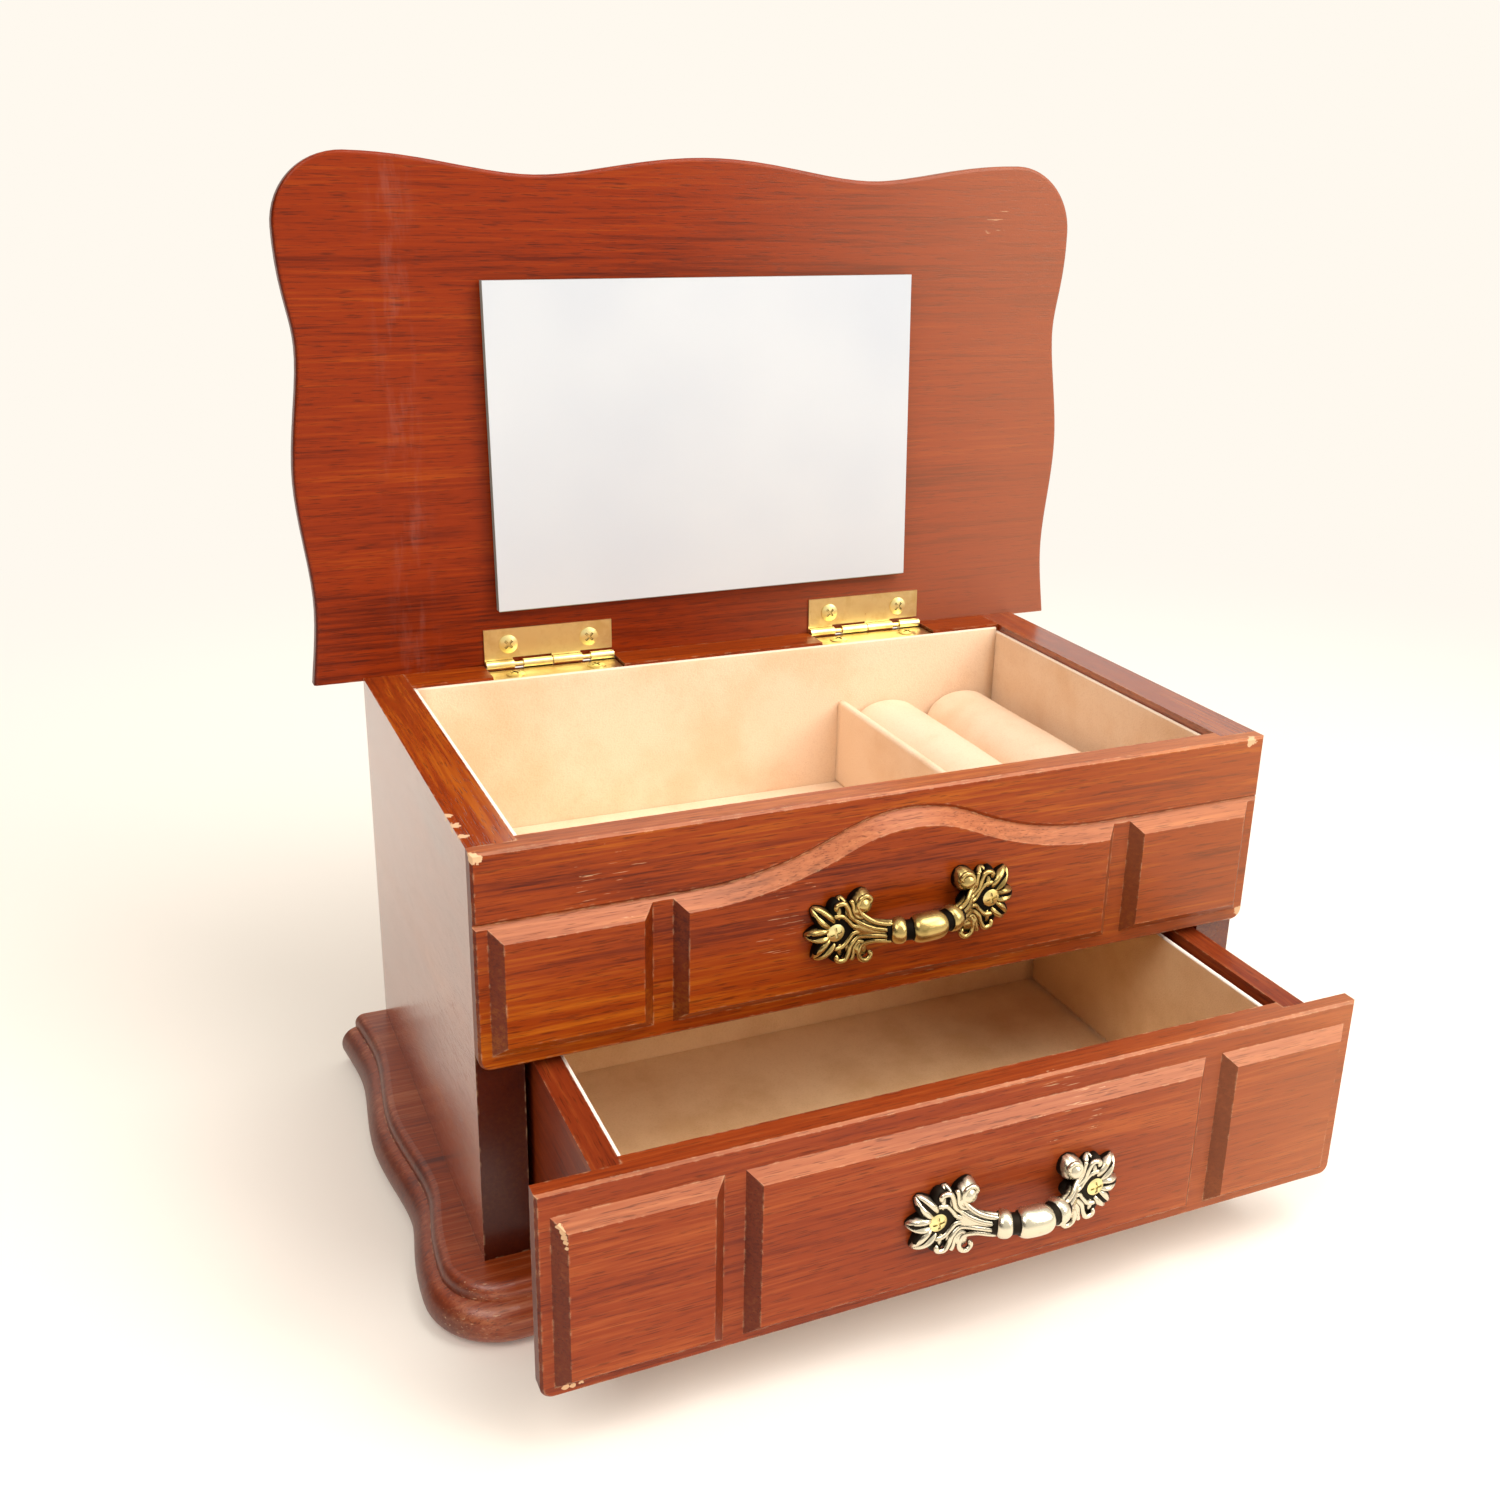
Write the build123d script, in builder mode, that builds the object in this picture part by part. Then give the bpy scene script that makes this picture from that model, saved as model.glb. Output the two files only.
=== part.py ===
from build123d import *
import os
from math import atan2, cos, degrees, radians, sin

# A wooden jewelry box: a carcass on a moulded base, a lined tray with ring rolls under a hinged
# lid with a mirror, and a lined drawer with a lipped front below the tray.
# Millimetres, +Z up, the front faces -Y. The origin is on the underside of the base, below the
# middle of the carcass.

os.makedirs("parts", exist_ok=True)

# Carcass
box_width = 206.0
box_depth = 124.0
carcass_height = 104.0
base_height = 14.2
side_board = 11.0
back_board = 11.0
front_y = -box_depth / 2
back_y = box_depth / 2
rim_z = base_height + carcass_height
inner_width = box_width - 2 * side_board
back_inner_y = back_y - back_board

# Lipped fronts: the ends are rebated, so that a thin lip laps the side boards
lip = 4.0
front_thickness = 6.6
front_corner_radius = 3.0
front_arris = 0.6

# Carving on both fronts: raised fields with sloping edges
field_rise = 2.8
field_slope = 45
side_field_inner = 63.2
side_field_outer = 100.0
middle_field_half = 58.4

# Upper front with its arched quirk, a fine V groove
upper_bottom = 66.3
upper_field_bottom = 69.8
quirk_z = 101.4
quirk_depth = 0.85
arch_half_span = 54.0
arch_rise = 12.0
crown_radius = 42.0

# Drawer, modelled 43.5 mm open
drawer_open = 43.5
drawer_bottom_z = 14.6
drawer_top_z = 64.4
drawer_field_bottom = 17.1
drawer_field_top = 58.7
drawer_half_width = 90.2
drawer_board = 6.3
drawer_back_y = 6.0
drawer_panel = 3.0
drawer_panel_z = 17.5
panel_groove = 3.0

# Tray and linings
tray_floor_z = 67.8
tray_floor_thickness = 4.0
lining = 1.3
lining_below_rim = 0.7
right_lining_below_rim = 2.0
lining_below_drawer_top = 1.0
loose_lining_x = 80.1
divider_x = 36.0
divider_thickness = 2.7
divider_top = 99.5
roll_end_gap = 0.4

# Lid and base share one outline, measured from the straight rear edge
lid_thickness = 7.0
lid_lean = 2.1
lid_edge_below_pin = 0.9
lid_inner_arris = 1.0
lid_outer_arris = 3.0
base_rear_y = 64.0
nose_height = 10.4
nose_radius = 5.1
bead_inset = 4.2
bead_radius = 2.7
mirror_width = 127.0
mirror_height = 88.9
mirror_thickness = 2.7
mirror_x = -2.0
mirror_v = 60.6
mirror_turn = 0.4
mirror_arris = 0.25
tape_thickness = 0.7
tape_width = 12.0

# Hinges
hinge_centres = {"left": -50.6, "right": 49.8}
hinge_half = 18.7
pin_y = 60.7
pin_z = rim_z + 0.1
pin_radius = 0.75
pin_play = 0.05
knuckle_radius = 1.35
leaf_thickness = 0.55
leaf_offset = 1.6
leaf_width = 10.2
leaf_notch = 1.75
lid_knuckles = [(-18.7, -10.7), (0.7, 9.2)]
box_knuckles = [(-8.0, 0.4), (11.8, 18.7)]
mortise_play = 0.3
hinge_screw_spacing = 23.6
lid_screw_v = 5.7
box_screw_y = 54.8

# Screws: a low domed cross head and a plain shank
screw_head_radius = 2.65
hinge_head_rise = 0.7
pull_head_rise = 1.0
head_edge = 0.25
lid_screw_turn = 45
box_screw_turn = 20
pull_screw_turn = 10
shank_radius = 1.1
hinge_shank = 5.0
pull_shank = 8.0
cross_length = 2.9
cross_width = 0.65
cross_depth = 0.4

# Pulls: two end plates and a bow with a barrel between two beads
pull_screw_spacing = 41.2
pull_plate_thickness = 2.2
plate_tip = 25.3
plate_tip_radius = 2.0
plate_ear_x = 14.6
plate_ear_y = 5.6
plate_ear_radius = 2.1
bow_foot = 15.0
bow_foot_rise = 1.5
bow_rise = 8.9
bow_radius = 1.9
# Barrel and beads: place along the bow, half length and radius
bow_swellings = [(0.5, 4.3, 3.0), (0.315, 1.8, 2.75), (0.685, 1.8, 2.75)]
upper_pull_x = -0.2
upper_pull_z = 88.5
upper_pull_turn = 2.4
lower_pull_x = 5.6
lower_pull_z = 36.1
lower_pull_turn = -2.6


def facing_front(y):
    """The upright plane at this y, with local x to the right, local y up and its normal to the front."""
    return Plane.XZ.offset(-y)


def outline(inset):
    """Half of the scalloped outline of the lid and the base, x outwards and y from the rear edge."""
    corner_radius = 18.6 - inset
    corner = (98.3, 118.4)
    side = [(116.0 - inset, 0), (114.0 - inset, 22), (116.8 - inset, 56), (113.7 - inset, 90)]
    side_end = (corner[0] + corner_radius, corner[1])
    front_end = (corner[0], corner[1] + corner_radius)
    Spline(side + [side_end], tangents=[(-0.12, 1), (0, 1)])
    CenterArc(corner, corner_radius, 0, 90)
    Spline([front_end, (50, 132.0 - inset), (0, 137.2 - inset)], tangents=[(-1, 0), (-1, 0)])
    return side[0]


def outline_face(inset):
    """The whole face inside the outline, made in the sketch that is open."""
    with BuildLine() as edge:
        rear_corner = outline(inset)
        Line((0, 0), rear_corner)
        mirror(about=Plane.YZ)
    make_face(edge.edges())


def front_blank(y_face, bottom, top, middle_half):
    """A board with lipped ends, its outer face at y_face, in the part that is open."""
    height = top - bottom
    centre_z = (top + bottom) / 2
    with BuildSketch(facing_front(y_face + lip)) as whole:
        with Locations((0, centre_z)):
            Rectangle(box_width, height)
    extrude(whole.sketch, amount=lip)
    fillet(edges().filter_by(Axis.Y).group_by(Axis.Z)[0], front_corner_radius)
    chamfer(faces().sort_by(Axis.Y)[0].edges(), front_arris)
    with BuildSketch(facing_front(y_face + front_thickness)) as middle:
        with Locations((0, centre_z)):
            Rectangle(2 * middle_half, height)
    extrude(middle.sketch, amount=front_thickness - lip)


def side_fields(y_face, bottom, top):
    """The two raised fields near the ends of a front."""
    width = side_field_outer - side_field_inner
    centre_x = (side_field_outer + side_field_inner) / 2
    for side in (-1, 1):
        with BuildSketch(facing_front(y_face)) as field:
            with Locations((side * centre_x, (bottom + top) / 2)):
                Rectangle(width, top - bottom)
        extrude(field.sketch, amount=field_rise, taper=field_slope)


def arch_line(drop):
    """The arch over the middle field as three tangent arcs, lowered square to itself by drop."""
    hollow_radius = (arch_half_span**2 + arch_rise**2) / (2 * arch_rise) - crown_radius
    crown_centre = (0, quirk_z + arch_rise - crown_radius)
    hollow_z = quirk_z + hollow_radius
    turn = degrees(atan2(hollow_z - crown_centre[1], arch_half_span))
    CenterArc(crown_centre, crown_radius - drop, turn, 180 - 2 * turn)
    CenterArc((arch_half_span, hollow_z), hollow_radius + drop, 180 + turn, 90 - turn)
    CenterArc((-arch_half_span, hollow_z), hollow_radius + drop, 270, 90 - turn)


def pull_plane(x, y, z, turn):
    """The plane a pull is screwed to, turned a little about its normal, as it was fitted by hand."""
    return Plane(facing_front(y).location * Location((x, z, 0), turn))


def pull_screw_holes(plane):
    with BuildSketch(plane) as holes:
        with GridLocations(pull_screw_spacing, 1, 2, 1):
            Circle(shank_radius)
    extrude(holes.sketch, amount=-(pull_shank - pull_plate_thickness), mode=Mode.SUBTRACT)


# Planes of the fronts, the lid and the two pulls
drawer_face_y = front_y - drawer_open
drawer_inner_y = drawer_face_y + front_thickness
drawer_side_front = drawer_face_y + lip
drawer_inner_half = drawer_half_width - drawer_board
side_front_y = front_y + lip
tray_front_y = front_y + front_thickness
upper_pull_plane = pull_plane(upper_pull_x, front_y - field_rise, upper_pull_z, upper_pull_turn)
lower_pull_plane = pull_plane(lower_pull_x, drawer_face_y - field_rise, lower_pull_z, lower_pull_turn)
lean = radians(lid_lean)
# Local x to the right, local y up the lid, local z out of its mirror side, origin on the pins
lid_plane = Plane(origin=(0, pin_y, pin_z), x_dir=(1, 0, 0), z_dir=(0, -cos(lean), sin(lean)))
lid_face = lid_plane.offset(-leaf_offset)


# Base: a bullnose slab with a narrower beaded slab on it, cut square at the rear
base_outline_plane = Plane(origin=(0, base_rear_y, 0), x_dir=(-1, 0, 0), z_dir=(0, 0, 1))

with BuildPart() as base_plinth:
    with BuildSketch(base_outline_plane):
        outline_face(0)
    extrude(amount=nose_height)
    nose_edges = base_plinth.edges().filter_by(GeomType.LINE, reverse=True)
    fillet(nose_edges, nose_radius)
    with BuildSketch(base_outline_plane.offset(nose_height - nose_radius)):
        outline_face(bead_inset)
    extrude(amount=base_height - nose_height + nose_radius)
    top_edges = base_plinth.faces().sort_by(Axis.Z)[-1].edges().filter_by(GeomType.LINE, reverse=True)
    fillet(top_edges, bead_radius)
base_plinth.part.label = "base_plinth"
export_step(base_plinth.part, "parts/base_plinth.step")


def grooved_board(name, side, outer_half, thickness, y_span, z_span, groove_y, groove_z):
    """An upright side board with a groove on its inner face for a floor panel."""
    with BuildPart() as board:
        with BuildSketch(Plane.XY.offset(z_span[0])):
            with Locations((side * (outer_half - thickness / 2), sum(y_span) / 2)):
                Rectangle(thickness, y_span[1] - y_span[0])
        extrude(amount=z_span[1] - z_span[0])
        with BuildSketch(Plane.XY.offset(groove_z[0])):
            with Locations((side * (outer_half - thickness + panel_groove / 2), sum(groove_y) / 2)):
                Rectangle(panel_groove, groove_y[1] - groove_y[0])
        extrude(amount=groove_z[1] - groove_z[0], mode=Mode.SUBTRACT)
    board.part.label = name
    export_step(board.part, f"parts/{name}.step")


# Side boards of the carcass, grooved for the tray floor
for name, side in (("left_side", -1), ("right_side", 1)):
    grooved_board(
        name,
        side,
        box_width / 2,
        side_board,
        (side_front_y, back_y),
        (base_height, rim_z),
        (tray_front_y, back_inner_y),
        (tray_floor_z, tray_floor_z + tray_floor_thickness),
    )


# Back board between the sides, with a mortise and pilot holes for each hinge
with BuildPart() as back_panel:
    with BuildSketch(Plane.XY.offset(base_height)):
        with Locations((0, (back_inner_y + back_y) / 2)):
            Rectangle(inner_width, back_board)
    extrude(amount=carcass_height)
    for hinge_x in hinge_centres.values():
        with BuildSketch(Plane.XY.offset(rim_z)):
            with Locations((hinge_x, (back_inner_y + back_y) / 2)):
                Rectangle(2 * (hinge_half + mortise_play), back_board)
        extrude(amount=-(rim_z - pin_z + leaf_offset), mode=Mode.SUBTRACT)
        with BuildSketch(Plane.XY.offset(pin_z - leaf_offset)):
            with Locations((hinge_x, box_screw_y)):
                with GridLocations(hinge_screw_spacing, 1, 2, 1):
                    Circle(shank_radius)
        extrude(amount=-hinge_shank, mode=Mode.SUBTRACT)
back_panel.part.label = "back_panel"
export_step(back_panel.part, "parts/back_panel.step")


# Upper front: the quirk is cut along the whole board and over the arch, then the fields go on
with BuildPart() as upper_front:
    front_blank(front_y, upper_bottom, rim_z, inner_width / 2)
    with BuildLine(facing_front(front_y)) as quirk_path:
        Line((-box_width / 2, quirk_z), (-arch_half_span, quirk_z))
        arch_line(0)
        Line((arch_half_span, quirk_z), (box_width / 2, quirk_z))
    with BuildSketch(Plane(origin=(-box_width / 2, front_y, quirk_z), x_dir=(0, 0, 1), z_dir=(1, 0, 0))):
        Rectangle(2**0.5 * quirk_depth, 2**0.5 * quirk_depth, rotation=field_slope)
    sweep(path=quirk_path.wires()[0], mode=Mode.SUBTRACT)
    field_top = quirk_z - quirk_depth
    side_fields(front_y, upper_field_bottom, field_top)
    with BuildSketch(facing_front(front_y)):
        with BuildLine():
            arch_line(quirk_depth)
            Polyline(
                (arch_half_span, field_top),
                (middle_field_half, field_top),
                (middle_field_half, upper_field_bottom),
                (-middle_field_half, upper_field_bottom),
                (-middle_field_half, field_top),
                (-arch_half_span, field_top),
            )
        make_face()
    extrude(amount=field_rise, taper=field_slope)
    pull_screw_holes(upper_pull_plane)
upper_front.part.label = "upper_front"
export_step(upper_front.part, "parts/upper_front.step")


# Tray floor, held in the grooves of the sides
with BuildPart() as tray_floor:
    with BuildSketch(Plane.XY.offset(tray_floor_z)):
        with Locations((0, (tray_front_y + back_inner_y) / 2)):
            Rectangle(inner_width + 2 * panel_groove, back_inner_y - tray_front_y)
    extrude(amount=tray_floor_thickness)
tray_floor.part.label = "tray_floor"
export_step(tray_floor.part, "parts/tray_floor.step")


def card(name, corner_low, corner_high):
    """A straight board or covered card between two opposite corners."""
    size = [high - low for low, high in zip(corner_low, corner_high)]
    with BuildPart() as piece:
        with BuildSketch(Plane.XY.offset(corner_low[2])):
            with Locations(((corner_low[0] + corner_high[0]) / 2, (corner_low[1] + corner_high[1]) / 2)):
                Rectangle(size[0], size[1])
        extrude(amount=size[2])
    piece.part.label = name
    export_step(piece.part, f"parts/{name}.step")


# Tray linings, with the right one cut a little short
tray_half = inner_width / 2
tray_lined_half = tray_half - lining
tray_base_z = tray_floor_z + tray_floor_thickness
tray_lined_z = tray_base_z + lining
tray_lined_front = tray_front_y + lining
tray_lined_back = back_inner_y - lining
lining_top = rim_z - lining_below_rim
right_lining_top = rim_z - right_lining_below_rim
card(
    "tray_lining_left",
    (-tray_half, tray_front_y, tray_base_z),
    (-tray_lined_half, back_inner_y, lining_top),
)
card(
    "tray_lining_right",
    (tray_lined_half, tray_front_y, tray_base_z),
    (tray_half, back_inner_y, right_lining_top),
)
card(
    "tray_lining_front",
    (-tray_lined_half, tray_front_y, tray_base_z),
    (tray_lined_half, tray_lined_front, lining_top),
)
card(
    "tray_lining_back",
    (-tray_lined_half, tray_lined_back, tray_base_z),
    (tray_lined_half, back_inner_y, lining_top),
)
card(
    "tray_lining_floor",
    (-tray_lined_half, tray_lined_front, tray_base_z),
    (tray_lined_half, tray_lined_back, tray_lined_z),
)
divider_right = divider_x + divider_thickness
card(
    "tray_divider",
    (divider_x, tray_lined_front, tray_lined_z),
    (divider_right, tray_lined_back, divider_top),
)


# Ring rolls: two round pads side by side, filling the tray from the divider to the right lining
roll_radius = (tray_lined_half - divider_right) / 4
for name, steps in (("ring_roll_left", 1), ("ring_roll_right", 3)):
    with BuildPart() as ring_roll:
        with BuildSketch(facing_front(tray_lined_back - roll_end_gap)):
            with Locations((divider_right + steps * roll_radius, tray_lined_z + roll_radius)):
                Circle(roll_radius)
        extrude(amount=tray_lined_back - tray_lined_front - 2 * roll_end_gap)
    ring_roll.part.label = name
    export_step(ring_roll.part, f"parts/{name}.step")


# Lid board: square at the rear edge, the other edges softened
with BuildPart() as lid_board:
    with BuildSketch(Plane(lid_face.location * Location((0, -lid_edge_below_pin, 0)))):
        outline_face(0)
    extrude(amount=-lid_thickness)
    inner_edges = lid_board.faces().sort_by(Axis.Y)[0].edges().filter_by(GeomType.LINE, reverse=True)
    outer_edges = lid_board.faces().sort_by(Axis.Y)[-1].edges().filter_by(GeomType.LINE, reverse=True)
    fillet(inner_edges, lid_inner_arris)
    fillet(outer_edges, lid_outer_arris)
    with BuildSketch(lid_face):
        for hinge_x in hinge_centres.values():
            with Locations((hinge_x, lid_screw_v)):
                with GridLocations(hinge_screw_spacing, 1, 2, 1):
                    Circle(shank_radius)
    extrude(amount=-hinge_shank, mode=Mode.SUBTRACT)
lid_board.part.label = "lid_board"
export_step(lid_board.part, "parts/lid_board.step")


# Mirror on two strips of adhesive pad
mirror_plane = Plane(lid_face.location * Location((mirror_x, mirror_v, 0), mirror_turn))

with BuildPart() as mirror_tape:
    with BuildSketch(mirror_plane):
        with GridLocations(mirror_width / 2, 1, 2, 1):
            Rectangle(tape_width, mirror_height - 2 * tape_width)
    extrude(amount=tape_thickness)
mirror_tape.part.label = "mirror_tape"
export_step(mirror_tape.part, "parts/mirror_tape.step")

with BuildPart() as mirror_glass:
    with BuildSketch(mirror_plane.offset(tape_thickness)):
        Rectangle(mirror_width, mirror_height)
    extrude(amount=mirror_thickness)
    chamfer(mirror_glass.faces().sort_by(Axis.Y)[0].edges(), mirror_arris)
mirror_glass.part.label = "mirror"
export_step(mirror_glass.part, "parts/mirror.step")


def hinge_leaf(name, hinge_x, leaf_plane, knuckles, bore_radius, reach, screw_reach):
    """A leaf on its plane: local y away from the pin, local z towards the other leaf when shut."""
    across = leaf_plane.x_dir.X
    with BuildPart() as leaf:
        with BuildSketch(leaf_plane.offset(-leaf_offset)):
            with Locations((across * hinge_x, (leaf_notch + reach) / 2)):
                Rectangle(2 * hinge_half, reach - leaf_notch)
            for start, end in knuckles:
                with Locations((across * (hinge_x + (start + end) / 2), leaf_notch / 2)):
                    Rectangle(end - start, leaf_notch)
            with Locations((across * hinge_x, screw_reach)):
                with GridLocations(hinge_screw_spacing, 1, 2, 1):
                    Circle(shank_radius, mode=Mode.SUBTRACT)
        extrude(amount=leaf_thickness)
        for start, end in knuckles:
            with BuildSketch(Plane(origin=(hinge_x + start, pin_y, pin_z), z_dir=(1, 0, 0))):
                Circle(knuckle_radius)
            extrude(amount=end - start)
        with BuildSketch(Plane(origin=(hinge_x - hinge_half, pin_y, pin_z), z_dir=(1, 0, 0))):
            Circle(bore_radius)
        extrude(amount=2 * hinge_half, mode=Mode.SUBTRACT)
    leaf.part.label = name
    export_step(leaf.part, f"parts/{name}.step")


# Hinges: each pin is tight in the box leaf and turns in the lid leaf
box_leaf_plane = Plane(origin=(0, pin_y, pin_z), x_dir=(-1, 0, 0), z_dir=(0, 0, 1))
box_leaf_reach = pin_y - back_inner_y
box_screw_reach = pin_y - box_screw_y
for side, hinge_x in hinge_centres.items():
    lid_bore = pin_radius + pin_play
    hinge_leaf(f"hinge_lid_leaf_{side}", hinge_x, lid_plane, lid_knuckles, lid_bore, leaf_width, lid_screw_v)
    hinge_leaf(
        f"hinge_box_leaf_{side}",
        hinge_x,
        box_leaf_plane,
        box_knuckles,
        pin_radius,
        box_leaf_reach,
        box_screw_reach,
    )
    with BuildPart() as hinge_pin:
        with BuildSketch(Plane(origin=(hinge_x - hinge_half, pin_y, pin_z), z_dir=(1, 0, 0))):
            Circle(pin_radius)
        extrude(amount=2 * hinge_half)
    hinge_pin.part.label = f"hinge_pin_{side}"
    export_step(hinge_pin.part, f"parts/hinge_pin_{side}.step")


def cross_screw(head_rise, shank_length):
    """One screw along +Z: a domed head standing on the origin's plane and a shank below it."""
    with BuildPart() as screw:
        with BuildSketch(Plane.XZ):
            with BuildLine():
                Polyline(
                    (0, head_rise),
                    (0, -shank_length),
                    (shank_radius, -shank_length),
                    (shank_radius, 0),
                    (screw_head_radius, 0),
                    (screw_head_radius, head_edge),
                )
                TangentArc((0, head_rise), (screw_head_radius, head_edge), tangent=(1, 0))
            make_face()
        revolve(axis=Axis.Z)
        with BuildSketch(Plane.XY.offset(head_rise)):
            Rectangle(cross_length, cross_width)
            Rectangle(cross_width, cross_length)
        extrude(amount=-cross_depth, mode=Mode.SUBTRACT)
    return screw.part


def screw_group(name, screw, places):
    """Equal screws, kept as separate solids in one group."""
    with BuildPart() as screws:
        with Locations(*places):
            add(screw)
    screws.part.label = name
    export_step(screws.part, f"parts/{name}.step")


# Screws of the hinges and of the pulls
hinge_screw = cross_screw(hinge_head_rise, hinge_shank + leaf_thickness)
pull_screw = cross_screw(pull_head_rise, pull_shank)
lid_screw_places = []
box_screw_places = []
for hinge_x in hinge_centres.values():
    for side in (-1, 1):
        screw_x = hinge_x + side * hinge_screw_spacing / 2
        on_leaf = leaf_thickness - leaf_offset
        on_lid_leaf = Location((screw_x, lid_screw_v, on_leaf), lid_screw_turn)
        on_box_leaf = Location((-screw_x, box_screw_reach, on_leaf), box_screw_turn)
        lid_screw_places.append(lid_plane.location * on_lid_leaf)
        box_screw_places.append(box_leaf_plane.location * on_box_leaf)
screw_group("hinge_lid_screws", hinge_screw, lid_screw_places)
screw_group("hinge_box_screws", hinge_screw, box_screw_places)
for name, plane in (("upper_pull_screws", upper_pull_plane), ("lower_pull_screws", lower_pull_plane)):
    pull_screw_places = [
        plane.location * Location((side * pull_screw_spacing / 2, 0, pull_plate_thickness), pull_screw_turn)
        for side in (-1, 1)
    ]
    screw_group(name, pull_screw, pull_screw_places)


# Pulls: two end plates with ears, joined by a bow that stands out far enough for the fingers
for name, plane in (("upper_pull", upper_pull_plane), ("lower_pull", lower_pull_plane)):
    with BuildPart() as pull:
        for side in (-1, 1):
            with BuildSketch(plane):
                with Locations((side * plate_tip, 0)):
                    Circle(plate_tip_radius)
                with Locations((side * plate_ear_x, plate_ear_y), (side * plate_ear_x, -plate_ear_y)):
                    Circle(plate_ear_radius)
                make_hull()
            extrude(amount=pull_plate_thickness)
        with BuildLine(Plane(plane.origin, x_dir=plane.x_dir, z_dir=-plane.y_dir)) as bow:
            ThreePointArc((-bow_foot, bow_foot_rise), (0, bow_rise), (bow_foot, bow_foot_rise))
        with BuildSketch(Plane(bow.line @ 0, z_dir=bow.line % 0)):
            Circle(bow_radius)
        sweep()
        for place, half, radius in bow_swellings:
            with BuildSketch(Plane(bow.line @ place, z_dir=bow.line % place)):
                Circle(radius)
            extrude(amount=half, both=True)
        with BuildSketch(plane):
            with GridLocations(pull_screw_spacing, 1, 2, 1):
                Circle(shank_radius)
        extrude(amount=pull_plate_thickness, mode=Mode.SUBTRACT)
    pull.part.label = name
    export_step(pull.part, f"parts/{name}.step")


# Drawer front, lipped at its ends, with three plain raised fields
with BuildPart() as drawer_front:
    front_blank(drawer_face_y, drawer_bottom_z, drawer_top_z, drawer_inner_half)
    side_fields(drawer_face_y, drawer_field_bottom, drawer_field_top)
    with BuildSketch(facing_front(drawer_face_y)):
        with Locations((0, (drawer_field_bottom + drawer_field_top) / 2)):
            Rectangle(2 * middle_field_half, drawer_field_top - drawer_field_bottom)
    extrude(amount=field_rise, taper=field_slope)
    pull_screw_holes(lower_pull_plane)
drawer_front.part.label = "drawer_front"
export_step(drawer_front.part, "parts/drawer_front.step")


# Drawer box: grooved sides, a back and a bottom panel in the grooves
drawer_back_inner = drawer_back_y - drawer_board
panel_top = drawer_panel_z + drawer_panel
for name, side in (("drawer_side_left", -1), ("drawer_side_right", 1)):
    grooved_board(
        name,
        side,
        drawer_half_width,
        drawer_board,
        (drawer_side_front, drawer_back_y),
        (drawer_bottom_z, drawer_top_z),
        (drawer_inner_y, drawer_back_inner),
        (drawer_panel_z, panel_top),
    )
panel_half = drawer_inner_half + panel_groove
card(
    "drawer_back",
    (-drawer_inner_half, drawer_back_inner, drawer_bottom_z),
    (drawer_inner_half, drawer_back_y, drawer_top_z),
)
card(
    "drawer_bottom",
    (-panel_half, drawer_inner_y, drawer_panel_z),
    (panel_half, drawer_back_inner, panel_top),
)


# Drawer linings: the right one stands off its side and leaves a narrow slot
lined_x = lining - drawer_inner_half
loose_x = loose_lining_x + lining
lined_y = drawer_inner_y + lining
lined_back = drawer_back_inner - lining
lined_z = panel_top + lining
drawer_lining_top = drawer_top_z - lining_below_drawer_top
card(
    "drawer_lining_left",
    (-drawer_inner_half, drawer_inner_y, panel_top),
    (lined_x, drawer_back_inner, drawer_lining_top),
)
card(
    "drawer_lining_right",
    (loose_lining_x, drawer_inner_y, panel_top),
    (loose_x, drawer_back_inner, drawer_lining_top),
)
card(
    "drawer_lining_front",
    (lined_x, drawer_inner_y, panel_top),
    (loose_lining_x, lined_y, drawer_lining_top),
)
card(
    "drawer_lining_back",
    (lined_x, lined_back, panel_top),
    (loose_lining_x, drawer_back_inner, drawer_lining_top),
)
card("drawer_lining_floor", (lined_x, lined_y, panel_top), (loose_lining_x, lined_back, lined_z))
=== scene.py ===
import math

import bmesh
import bpy
import numpy as np
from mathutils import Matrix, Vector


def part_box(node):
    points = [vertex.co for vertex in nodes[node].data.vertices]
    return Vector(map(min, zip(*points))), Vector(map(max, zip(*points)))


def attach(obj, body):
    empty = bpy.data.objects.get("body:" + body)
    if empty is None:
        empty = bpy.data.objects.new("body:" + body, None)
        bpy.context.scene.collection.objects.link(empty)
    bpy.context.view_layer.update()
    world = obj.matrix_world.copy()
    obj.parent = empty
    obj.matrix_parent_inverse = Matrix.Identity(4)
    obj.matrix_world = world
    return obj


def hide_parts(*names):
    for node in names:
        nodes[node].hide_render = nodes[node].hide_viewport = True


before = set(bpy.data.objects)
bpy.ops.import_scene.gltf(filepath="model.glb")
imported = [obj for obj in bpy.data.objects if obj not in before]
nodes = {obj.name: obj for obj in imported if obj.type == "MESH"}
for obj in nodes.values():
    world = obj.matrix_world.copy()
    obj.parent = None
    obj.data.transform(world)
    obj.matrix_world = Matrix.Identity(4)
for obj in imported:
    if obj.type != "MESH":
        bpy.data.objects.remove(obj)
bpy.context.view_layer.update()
mm = 0.001


# sRGB hex to linear RGBA
def linear(hexColour):
    channels = np.array([int(hexColour[i : i + 2], 16) for i in (1, 3, 5)]) / 255
    values = np.where(channels <= 0.04045, channels / 12.92, ((channels + 0.055) / 1.055) ** 2.4)
    return (*values.tolist(), 1.0)


# Adds one node: links maps an input to a socket or a value, settings are the node's properties
def put(tree, kind, links=None, **settings):
    node = tree.nodes.new(kind)
    for name, value in settings.items():
        setattr(node, name, value)
    for name, source in (links or {}).items():
        if isinstance(source, bpy.types.NodeSocket):
            tree.links.new(source, node.inputs[name])
        else:
            node.inputs[name].default_value = source
    return node.outputs


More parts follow.
